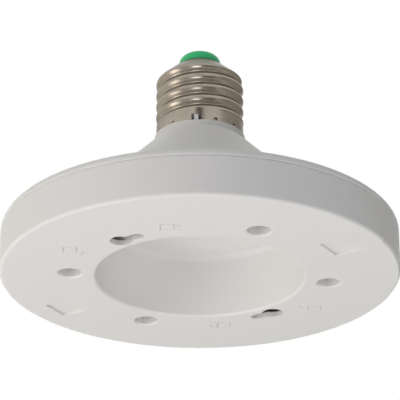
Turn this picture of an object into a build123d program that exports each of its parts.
from build123d import *
import os
from math import cos, radians, sin, sqrt, tan

# Lamp socket adapter: a screw cap on top of a twist-lock holder for flat two-pin lamps.
# All sizes are in millimetres. The underside of the body is the plane z = 0, the screw cap points
# up along +Z, and +X points at the place where the first lamp pin locks.

# Body
body_radius = 58.0
seam_height = 12.0
rim_wall = 2.2
cover_wall = 2.0
plate_thickness = 1.6
edge_rounding = 1.0
shoulder_rise = 2.8
shoulder_land = 0.1
flare_rounding = 4.0
seam_chamfer = 0.3
tongue_wall = 1.3
tongue_depth = 2.2
fit_clearance = 0.15

# Keyholes for the lamp pins, and the recess between them for the hub of the lamp
pin_circle_radius = 35.0
entry_radius = 3.1
slot_width = 3.3
lock_turn = 9.6
keyhole_margin = 0.05
recess_wall = 1.6
recess_depth = 19.5
mouth_rounding = 0.8
corner_rounding = 2.0
corner_wall = 1.1

# Shallow seats for the feet of the lamp
seat_radius = 46.0
seat_angle = 89.2
seat_length = 9.0
seat_width = 9.8
seat_depth = 0.7

# Stiffening ribs on the inside of the plate
rib_angle = 14.0
rib_thickness = 1.4
rib_height = 5.0

# Screws that hold the two halves of the housing together
screw_angle = 55.0
screw_radius = 1.5
screw_head_radius = 2.75
screw_head_height = 2.2
screw_tip_cover = 2.1
screw_tip_gap = 0.5
screw_recess_depth = 5.5
screw_mouth = 0.4
screw_head_clearance = 0.6
screw_hole_clearance = 0.2
screw_bite_clearance = 0.05
boss_wall = 1.0
boss_gap = 1.45
boss_floor = 3.5
driver_slot_width = 0.8
driver_slot_depth = 1.0

# Collar and flare below the screw cap
collar_step = 0.5
collar_height = 1.7
spigot_wall = 1.9
spigot_clearance = 0.08
spigot_shortfall = 0.5

# Screw cap, rolled from thin sheet
sheet = 0.3
thread_radius = 13.12
thread_depth = 1.07
thread_pitch = 3.629
thread_bead_count = 3
thread_runout = 1.5
brim_step = 0.17
brim_height = 3.5
cap_straight = 0.64
cap_rounding = 1.3
cap_slope = 41.0
cap_hole_radius = 6.5

# Key on the spigot, between two slots and in a notch of the brim, that stops the cap from turning
key_angle = 204.6
key_width = 1.3
key_height = 2.1
key_clearance = 0.05
notch_gap = 0.75
notch_depth = 0.6

# Insulator and centre contact at the tip of the cap
insulator_rise = 3.5
insulator_taper = 0.5
insulator_rounding = 2.9
insulator_flange_radius = 9.6
insulator_flange_drop = 4.4
insulator_clearance = 0.1
contact_head_radius = 2.5
contact_head_height = 0.6
contact_stem_radius = 1.2
contact_stem_clearance = 0.05
contact_stem_tail = 1.6

# Contact springs, bent from strip, on posts of the lower housing
strip = 0.5
spring_width = 6.0
spring_clearance = 0.5
leaf_height = 2.4
leaf_reach = 1.8
leaf_run = 7.5
tip_run = 3.2
tip_rise = 2.0
ramp_run = 2.4
foot_length = 8.4
tab_length = 2.8
tab_width = 3.2
bend_radius = 0.8
post_height = 4.0
post_margin = 0.6
contact_screw_radius = 1.1
contact_screw_rest = 0.6
contact_screw_tip_gap = 0.3
contact_screw_head_radius = 2.2
contact_screw_head_height = 1.5
contact_screw_head_taper = 10.0
washer_radius = 2.6
washer_thickness = 0.4

# Leads from the springs to the cap, and the solder at their ends
wire_flat_count = 8
core_radius = 0.3
sleeve_radius = 0.65
sleeve_clearance = 0.05
lead_clearance = 0.2
lead_azimuth = 41.0
lead_exit = 2.5
lead_climb = 3.0
lead_exit_bend = 2.5
lead_climb_bend = 3.5
lead_rise_gap = 0.82
lead_rise_bend = 4.0
lead_hook_drop = 0.6
lead_hook_bend = 0.9
lead_axis_bend = 9.0
lead_bare_length = 2.4
lead_bare_rise = 1.6
lead_foot_gap = 0.2
lead_touch_gap = 0.02
solder_radius = 1.05
solder_gap = 0.05
solder_margin = 0.2
solder_collar_radius = 1.9

# Heights and radii that follow from the sizes above.
# On a 45 degree cone, radius plus height is the same all over. The cones stack outwards from the
# inner corner of the recess: the wall of the cup, the channel for the leads, the wall of the cover.
recess_radius = pin_circle_radius - entry_radius - recess_wall - keyhole_margin
cup_radius = recess_radius + recess_wall
cup_top = recess_depth + recess_wall
rim_inside = body_radius - rim_wall
shoulder_height = seam_height + shoulder_rise
shoulder_rounding = shoulder_rise - seam_chamfer - shoulder_land
channel = 2 * (sleeve_radius + lead_clearance)
cup_cone = recess_radius + recess_depth + corner_wall * sqrt(2)
inner_cone = cup_cone + channel * sqrt(2)
outer_cone = inner_cone + cover_wall * sqrt(2)
lead_cone = (cup_cone + inner_cone) / 2
brim_radius = thread_radius - brim_step
brim_inside = brim_radius - sheet
collar_radius = brim_radius + collar_step
collar_bottom = outer_cone - collar_radius
cap_foot = collar_bottom + collar_height
cover_ceiling = shoulder_height - cover_wall
screw_recess_radius = screw_head_radius + screw_head_clearance
boss_radius = screw_recess_radius + boss_wall
screw_circle_radius = cup_radius + boss_gap + boss_radius
screw_tip = outer_cone - screw_circle_radius - screw_radius - screw_tip_cover
boss_joint = screw_recess_depth + boss_floor
spigot_radius = brim_inside - spigot_clearance
spigot_bore = spigot_radius - spigot_wall
brim_top = cap_foot + brim_height
spigot_top = brim_top - spigot_shortfall
key_inside = spigot_bore + spigot_wall / 2
key_outside = brim_radius - key_clearance
thread_foot = brim_top + thread_runout
half_turns = 2 * thread_bead_count + 1
thread_swing = thread_depth / 2
thread_mean = thread_radius - thread_swing
thread_bore = thread_mean - thread_swing - sheet
cap_wall_foot = thread_foot + half_turns * thread_pitch / 2
slope_rise = tan(radians(cap_slope))
slope_sheet = sheet / cos(radians(cap_slope))
slope_gap = insulator_clearance / cos(radians(cap_slope))
cap_corner = cap_wall_foot + cap_straight + cap_rounding * tan(radians(90 - cap_slope) / 2)
cap_rim = cap_corner + (thread_mean - cap_hole_radius) * slope_rise
insulator_radius = cap_hole_radius - insulator_clearance
insulator_top = cap_rim + insulator_rise
insulator_bottom = cap_rim - insulator_flange_drop
stem_bottom = insulator_bottom - contact_stem_tail
spring_inner = cup_radius + spring_clearance
spring_middle = spring_inner + spring_width / 2
leaf_level = plate_thickness + leaf_height
foot_level = plate_thickness + post_height
foot_start = leaf_run + ramp_run
post_start = foot_start + bend_radius
tab_start = foot_start + foot_length
tab_end = tab_start + tab_length
post_middle = (post_start + tab_start) / 2
foot_top = foot_level + strip
washer_top = foot_top + washer_thickness
core_level = foot_top + core_radius + solder_gap
hook_level = spigot_top - lead_hook_drop
lead_rise_radius = spigot_bore - sleeve_radius - lead_rise_gap
lap_radius = brim_inside - core_radius - lead_touch_gap
lap_groove_radius = lap_radius - core_radius - lead_clearance
contact_turns = (0, 180)


def around(radius, angle, height=0.0):
    """The point at a radius, an angle and a height about the axis of the part."""
    return Vector(radius * cos(radians(angle)), radius * sin(radians(angle)), height)


def keep(piece, name):
    """Label a finished piece and write it as a STEP file."""
    piece.label = name
    export_step(piece, f"parts/{name}.step")


def tube(path, radius, bore=0.0):
    """A thin wire or sleeve along a path of straight runs and arcs, with flats in place of a round section."""
    with BuildPart() as body:
        with BuildSketch(Plane(path @ 0, z_dir=path % 0)):
            RegularPolygon(radius, wire_flat_count)
            if bore:
                RegularPolygon(bore, wire_flat_count, mode=Mode.SUBTRACT)
        sweep(path=path)
    return body.part


os.makedirs("parts", exist_ok=True)
screw_places = [
    around(screw_circle_radius, angle)
    for angle in (screw_angle, -screw_angle, 180 + screw_angle, 180 - screw_angle)
]
contact_places = [Vector(spring_middle, post_middle).rotate(Axis.Z, turn) for turn in contact_turns]

# Lower housing: plate, rim and recess cup in one moulding, with keyholes, screw bosses and contact posts
slot_path = CenterArc((0, 0), pin_circle_radius, -lock_turn, lock_turn)
with BuildPart() as lower_housing:
    with BuildSketch(Plane.XZ) as section:
        with BuildLine():
            ceiling_corner = CenterArc(
                (recess_radius - corner_rounding, recess_depth - corner_rounding), corner_rounding, 0, 90
            )
            Polyline(
                ceiling_corner @ 0,
                (recess_radius, 0),
                (body_radius, 0),
                (body_radius, seam_height),
                (rim_inside, seam_height),
                (rim_inside, plate_thickness),
                (cup_radius, plate_thickness),
                (cup_radius, cup_cone - cup_radius),
                (cup_cone - cup_top, cup_top),
                (0, cup_top),
                (0, recess_depth),
                ceiling_corner @ 1,
            )
        make_face()
        chamfer(section.vertices().group_by(Axis.X)[-1].sort_by(Axis.Y)[-1], seam_chamfer)
        fillet(section.vertices().group_by(Axis.Y)[0].sort_by(Axis.X)[-1], edge_rounding)
        fillet(section.vertices().group_by(Axis.Y)[0].sort_by(Axis.X)[0], mouth_rounding)
    revolve(axis=Axis.Z)
    with BuildSketch(Plane.XY.offset(plate_thickness)):
        with Locations(*contact_places):
            Rectangle(spring_width + 2 * post_margin, tab_start - post_start)
    extrude(amount=post_height)
    with BuildSketch(Plane.XY.offset(plate_thickness)):
        for angle in (90 - rib_angle, 90 + rib_angle, 270 - rib_angle, 270 + rib_angle):
            with PolarLocations((cup_radius + rim_inside) / 2, 1, start_angle=angle):
                Rectangle(rim_inside - cup_radius + rib_thickness, rib_thickness)
    extrude(amount=rib_height)
    with BuildSketch():
        with Locations(*screw_places):
            Circle(boss_radius)
    extrude(amount=boss_joint)
    with BuildSketch():
        with Locations(*screw_places):
            Circle(screw_recess_radius)
    extrude(amount=screw_recess_depth, mode=Mode.SUBTRACT)
    with BuildSketch():
        with Locations(*screw_places):
            Circle(screw_recess_radius + screw_mouth)
    extrude(amount=screw_mouth, taper=45, mode=Mode.SUBTRACT)
    with BuildSketch():
        with Locations(*screw_places):
            Circle(screw_radius + screw_hole_clearance)
    extrude(amount=boss_joint, mode=Mode.SUBTRACT)
    with BuildSketch(Plane.XY.offset(foot_level)):
        with Locations(*contact_places):
            Circle(contact_screw_radius + screw_bite_clearance)
    extrude(amount=contact_screw_rest - contact_screw_tip_gap - post_height, mode=Mode.SUBTRACT)
    with BuildSketch():
        for turn in contact_turns:
            with PolarLocations(pin_circle_radius, 1, start_angle=turn - lock_turn):
                Circle(entry_radius)
            with PolarLocations(0, 1, start_angle=turn):
                SlotArc(slot_path, slot_width)
    extrude(amount=plate_thickness, mode=Mode.SUBTRACT)
    with BuildSketch():
        with PolarLocations(seat_radius, 2, start_angle=seat_angle):
            Rectangle(seat_length, seat_width)
    extrude(amount=seat_depth, mode=Mode.SUBTRACT)
keep(lower_housing.part, "lower_housing")

# Inside of the upper housing, with the screw bosses left standing
with BuildPart() as cover_hollow:
    with BuildSketch(Plane.XZ):
        with BuildLine():
            Polyline(
                (0, seam_height),
                (body_radius - cover_wall, seam_height),
                (body_radius - cover_wall, cover_ceiling),
                (inner_cone - cover_ceiling, cover_ceiling),
                (spigot_bore, inner_cone - spigot_bore),
                (spigot_bore, spigot_top),
                (0, spigot_top),
                close=True,
            )
        make_face()
    revolve(axis=Axis.Z)
    with BuildSketch(Plane.XY.offset(seam_height)):
        with Locations(*screw_places):
            Circle(boss_radius)
    extrude(amount=cap_foot - seam_height, mode=Mode.SUBTRACT)

# Upper housing: shoulder, flare and collar in one moulding, with a tongue, screw bosses and a spigot
with BuildPart() as upper_housing:
    with BuildSketch(Plane.XZ) as section:
        with BuildLine():
            Polyline(
                (0, seam_height),
                (body_radius, seam_height),
                (body_radius, shoulder_height),
                (outer_cone - shoulder_height, shoulder_height),
                (collar_radius, collar_bottom),
                (collar_radius, cap_foot),
                (spigot_radius, cap_foot),
                (spigot_radius, spigot_top),
                (0, spigot_top),
                close=True,
            )
        make_face()
        chamfer(section.vertices().group_by(Axis.X)[-1].sort_by(Axis.Y)[0], seam_chamfer)
        shoulder = section.vertices().filter_by_position(Axis.Y, shoulder_height, shoulder_height)
        fillet(shoulder.sort_by(Axis.X)[-1], shoulder_rounding)
        fillet(shoulder.sort_by(Axis.X)[0], flare_rounding)
    revolve(axis=Axis.Z)
    add(cover_hollow.part, mode=Mode.SUBTRACT)
    with BuildSketch(Plane.XY.offset(boss_joint)):
        with Locations(*screw_places):
            Circle(boss_radius)
    extrude(amount=seam_height - boss_joint)
    with BuildSketch(Plane.XY.offset(boss_joint)):
        with Locations(*screw_places):
            Circle(screw_radius + screw_bite_clearance)
    extrude(amount=screw_tip + screw_tip_gap - boss_joint, mode=Mode.SUBTRACT)
    with BuildSketch(Plane.XY.offset(seam_height - tongue_depth)):
        Circle(rim_inside - fit_clearance)
        Circle(rim_inside - fit_clearance - tongue_wall, mode=Mode.SUBTRACT)
    extrude(amount=cover_ceiling - seam_height + tongue_depth)
    with BuildSketch(Plane.XY.offset(cap_foot)):
        with PolarLocations((key_inside + key_outside) / 2, 1, start_angle=key_angle):
            Rectangle(key_outside - key_inside, key_width)
    extrude(amount=key_height)
    with BuildSketch(Plane.XY.offset(cap_foot)):
        with PolarLocations((spigot_bore + spigot_radius) / 2, 1, start_angle=key_angle):
            Rectangle(2 * spigot_wall, key_width + 2 * notch_gap)
            Rectangle(2 * spigot_wall, key_width, mode=Mode.SUBTRACT)
    extrude(amount=key_height, mode=Mode.SUBTRACT)
    with BuildSketch(Plane.XY.offset(cap_foot)):
        with PolarLocations((lap_groove_radius + spigot_radius) / 2, 1, start_angle=lead_azimuth):
            Rectangle(spigot_radius - lap_groove_radius, 2 * (core_radius + lead_clearance))
    extrude(amount=spigot_top - cap_foot, mode=Mode.SUBTRACT)
    with BuildSketch(Plane.XY.offset(hook_level - core_radius - lead_clearance)):
        with PolarLocations((spigot_bore + spigot_radius) / 2, 1, start_angle=lead_azimuth):
            Rectangle(2 * spigot_wall, 2 * (core_radius + lead_clearance))
    extrude(amount=spigot_top - hook_level + core_radius + lead_clearance, mode=Mode.SUBTRACT)
keep(upper_housing.part, "upper_housing")


def under_shoulder(radius):
    """The height of the inside of the cap's sloping shoulder."""
    return cap_rim - slope_sheet - (radius - cap_hole_radius) * slope_rise


# Screw cap: a plain brim, a round thread and a sloping shoulder with a hole.
# Each turn of the thread is a bead around the cap, so its section is true all round and its climb is left out.
with BuildPart() as screw_shell:
    with BuildSketch(Plane.XZ) as section:
        with BuildLine():
            Polyline((0, cap_foot), (brim_radius, cap_foot), (brim_radius, brim_top), (thread_mean, thread_foot))
            for half_turn in range(half_turns):
                foot = thread_foot + half_turn * thread_pitch / 2
                swing = thread_swing if half_turn % 2 else -thread_swing
                ThreePointArc(
                    (thread_mean, foot),
                    (thread_mean + swing, foot + thread_pitch / 4),
                    (thread_mean, foot + thread_pitch / 2),
                )
            Polyline(
                (thread_mean, cap_wall_foot),
                (thread_mean, cap_corner),
                (cap_hole_radius, cap_rim),
                (0, cap_rim),
                (0, cap_foot),
            )
        make_face()
        fillet(section.vertices().filter_by_position(Axis.Y, cap_corner, cap_corner), cap_rounding)
    revolve(axis=Axis.Z)
    with BuildSketch(Plane.XZ):
        with BuildLine():
            Polyline(
                (0, cap_foot),
                (brim_inside, cap_foot),
                (brim_inside, brim_top),
                (thread_bore, brim_top + brim_inside - thread_bore),
                (thread_bore, under_shoulder(thread_bore)),
                (cap_hole_radius, under_shoulder(cap_hole_radius)),
                (cap_hole_radius, cap_rim),
                (0, cap_rim),
                close=True,
            )
        make_face()
    revolve(axis=Axis.Z, mode=Mode.SUBTRACT)
    with BuildSketch(Plane.XY.offset(cap_foot)):
        with PolarLocations(brim_radius, 1, start_angle=key_angle):
            Rectangle(2 * notch_depth, key_width + 2 * notch_gap)
    extrude(amount=key_height + key_clearance, mode=Mode.SUBTRACT)
keep(screw_shell.part, "screw_shell")


# Insulator: a turned plug through the hole of the cap, with a flange trapped under its shoulder
with BuildPart() as insulator:
    with BuildSketch(Plane.XZ) as section:
        with BuildLine():
            Polyline(
                (contact_stem_radius + contact_stem_clearance, insulator_bottom),
                (insulator_flange_radius, insulator_bottom),
                (insulator_flange_radius, under_shoulder(insulator_flange_radius) - slope_gap),
                (insulator_radius, under_shoulder(insulator_radius) - slope_gap),
                (insulator_radius, cap_rim + sheet),
                (insulator_radius - insulator_taper, insulator_top),
                (contact_stem_radius + contact_stem_clearance, insulator_top),
                close=True,
            )
        make_face()
        fillet(section.vertices().group_by(Axis.Y)[-1].sort_by(Axis.X)[-1], insulator_rounding)
    revolve(axis=Axis.Z)
keep(insulator.part, "insulator")

# Centre contact: a domed rivet through the insulator
with BuildPart() as centre_contact:
    with BuildSketch(Plane.XZ):
        with BuildLine():
            Polyline(
                (contact_head_radius, insulator_top),
                (contact_stem_radius, insulator_top),
                (contact_stem_radius, stem_bottom),
                (0, stem_bottom),
                (0, insulator_top + contact_head_height),
            )
            TangentArc(
                (0, insulator_top + contact_head_height),
                (contact_head_radius, insulator_top),
                tangent=(1, 0),
            )
        make_face()
    revolve(axis=Axis.Z)
keep(centre_contact.part, "centre_contact")

# Contact springs: a leaf over the slot with a turned-up tip, a foot on the post and a soldering tab
with BuildPart() as contact_spring:
    with BuildSketch(Plane.YZ.offset(spring_inner)):
        with BuildLine():
            FilletPolyline(
                (-leaf_reach - tip_run, leaf_level + tip_rise),
                (-leaf_reach, leaf_level),
                (leaf_run, leaf_level),
                (foot_start, foot_level),
                (tab_end, foot_level),
                radius=bend_radius,
            )
            offset(amount=strip, side=Side.LEFT)
        make_face()
    extrude(amount=spring_width)
    with BuildSketch(Plane.XY.offset(foot_level)):
        with Locations((spring_middle, (tab_start + tab_end) / 2)):
            Rectangle(spring_width, tab_length)
            Rectangle(tab_width, tab_length, mode=Mode.SUBTRACT)
    extrude(amount=strip, mode=Mode.SUBTRACT)
    with BuildSketch(Plane.XY.offset(foot_level)):
        with Locations((spring_middle, post_middle)):
            Circle(contact_screw_radius + screw_hole_clearance)
    extrude(amount=strip, mode=Mode.SUBTRACT)
for number, turn in enumerate(contact_turns, start=1):
    keep(contact_spring.part.rotate(Axis.Z, turn), f"contact_spring_{number}")

# Washers and screws that clamp the feet of the springs to their posts
with BuildPart() as contact_washers:
    with BuildSketch(Plane.XY.offset(foot_top)):
        with Locations(*contact_places):
            Circle(washer_radius)
            Circle(contact_screw_radius + screw_hole_clearance, mode=Mode.SUBTRACT)
    extrude(amount=washer_thickness)
keep(contact_washers.part, "contact_washers")

with BuildPart() as contact_screws:
    with BuildSketch(Plane.XY.offset(plate_thickness + contact_screw_rest)):
        with Locations(*contact_places):
            Circle(contact_screw_radius)
    extrude(amount=washer_top - plate_thickness - contact_screw_rest)
    with BuildSketch(Plane.XY.offset(washer_top)):
        with Locations(*contact_places):
            Circle(contact_screw_head_radius)
    extrude(amount=contact_screw_head_height, taper=contact_screw_head_taper)
    with BuildSketch(Plane.XY.offset(washer_top + contact_screw_head_height)):
        with Locations(*contact_places):
            Rectangle(2 * contact_screw_head_radius, driver_slot_width)
    extrude(amount=-driver_slot_depth, mode=Mode.SUBTRACT)
keep(contact_screws.part, "contact_screws")

# Screws that draw the two housings together, with their heads deep in the underside
with BuildPart() as housing_screws:
    with BuildSketch(Plane.XY.offset(screw_recess_depth)):
        with Locations(*screw_places):
            Circle(screw_radius)
    extrude(amount=screw_tip - screw_recess_depth)
    with BuildSketch(Plane.XY.offset(screw_recess_depth)):
        with Locations(*screw_places):
            Circle(screw_head_radius)
    extrude(amount=-screw_head_height)
    with BuildSketch(Plane.XY.offset(screw_recess_depth - screw_head_height)):
        with Locations(*screw_places):
            Rectangle(2 * screw_head_radius - 2 * driver_slot_width, driver_slot_width)
            Rectangle(driver_slot_width, 2 * screw_head_radius - 2 * driver_slot_width)
    extrude(amount=driver_slot_depth, mode=Mode.SUBTRACT)
keep(housing_screws.part, "housing_screws")


def lead_start(first, turn):
    """The run of a lead along its tab, out past the foot and up into the channel under the flare."""
    climb_level = core_level + lead_climb
    points = (
        Vector(spring_middle, first, core_level),
        Vector(spring_middle, tab_end + lead_exit, core_level),
        around(lead_cone - climb_level, lead_azimuth, climb_level),
    )
    return [point.rotate(Axis.Z, turn) for point in points]


# Shell lead: up the channel, over the edge of the spigot and down between spigot and cap
core_first = tab_start + solder_margin
sleeve_first = tab_end + solder_margin
sleeve_bore = core_radius + sleeve_clearance
rise_foot = around(lead_rise_radius, lead_azimuth, lead_cone - lead_rise_radius)
shell_core_path = FilletPolyline(
    *lead_start(core_first, contact_turns[0]),
    rise_foot,
    around(lead_rise_radius, lead_azimuth, hook_level),
    around(lap_radius, lead_azimuth, hook_level),
    around(lap_radius, lead_azimuth, cap_foot + lead_foot_gap),
    radius=[lead_exit_bend, lead_climb_bend, lead_rise_bend, lead_hook_bend, lead_hook_bend],
)
shell_sleeve_path = FilletPolyline(
    *lead_start(sleeve_first, contact_turns[0]),
    rise_foot,
    around(lead_rise_radius, lead_azimuth, hook_level - lead_bare_rise),
    radius=[lead_exit_bend, lead_climb_bend, lead_rise_bend],
)
keep(tube(shell_core_path, core_radius), "shell_lead_core")
keep(tube(shell_sleeve_path, sleeve_radius, sleeve_bore), "shell_lead_sleeve")

# Centre lead: up the channel to the axis and on to the stem of the centre contact
axis_foot = Vector(0, 0, lead_cone)
centre_core_path = FilletPolyline(
    *lead_start(core_first, contact_turns[1]),
    axis_foot,
    Vector(0, 0, stem_bottom),
    radius=[lead_exit_bend, lead_climb_bend, lead_axis_bend],
)
centre_sleeve_path = FilletPolyline(
    *lead_start(sleeve_first, contact_turns[1]),
    axis_foot,
    Vector(0, 0, stem_bottom - lead_bare_length),
    radius=[lead_exit_bend, lead_climb_bend, lead_axis_bend],
)
keep(tube(centre_core_path, core_radius), "centre_lead_core")
keep(tube(centre_sleeve_path, sleeve_radius, sleeve_bore), "centre_lead_sleeve")

# Solder on the tabs: a spindle around the end of each core, cut off flat where it wets the tab
solder_end = tab_end - solder_margin
with BuildPart() as tab_solder:
    with BuildSketch(Plane(origin=(spring_middle, 0, core_level), x_dir=(0, 1, 0), z_dir=(1, 0, 0))):
        with BuildLine():
            Polyline(
                (core_first, core_radius),
                ((core_first + solder_end) / 2, solder_radius),
                (solder_end, core_radius),
                close=True,
            )
        make_face()
    revolve(axis=Axis((spring_middle, 0, core_level), (0, 1, 0)))
    split(bisect_by=Plane.XY.offset(foot_top), keep=Keep.TOP)
for number, turn in enumerate(contact_turns, start=1):
    keep(tab_solder.part.rotate(Axis.Z, turn), f"tab_solder_{number}")

# Solder at the centre contact: a collar around the stem that tapers down to the core
with BuildPart() as centre_solder:
    with BuildSketch(Plane.XZ):
        with BuildLine():
            Polyline(
                (solder_collar_radius, stem_bottom),
                (solder_collar_radius, insulator_bottom),
                (contact_stem_radius, insulator_bottom),
                (contact_stem_radius, stem_bottom),
                (core_radius, stem_bottom),
                (core_radius, stem_bottom - lead_bare_length + solder_margin),
                close=True,
            )
        make_face()
    revolve(axis=Axis.Z)
keep(centre_solder.part, "centre_solder")
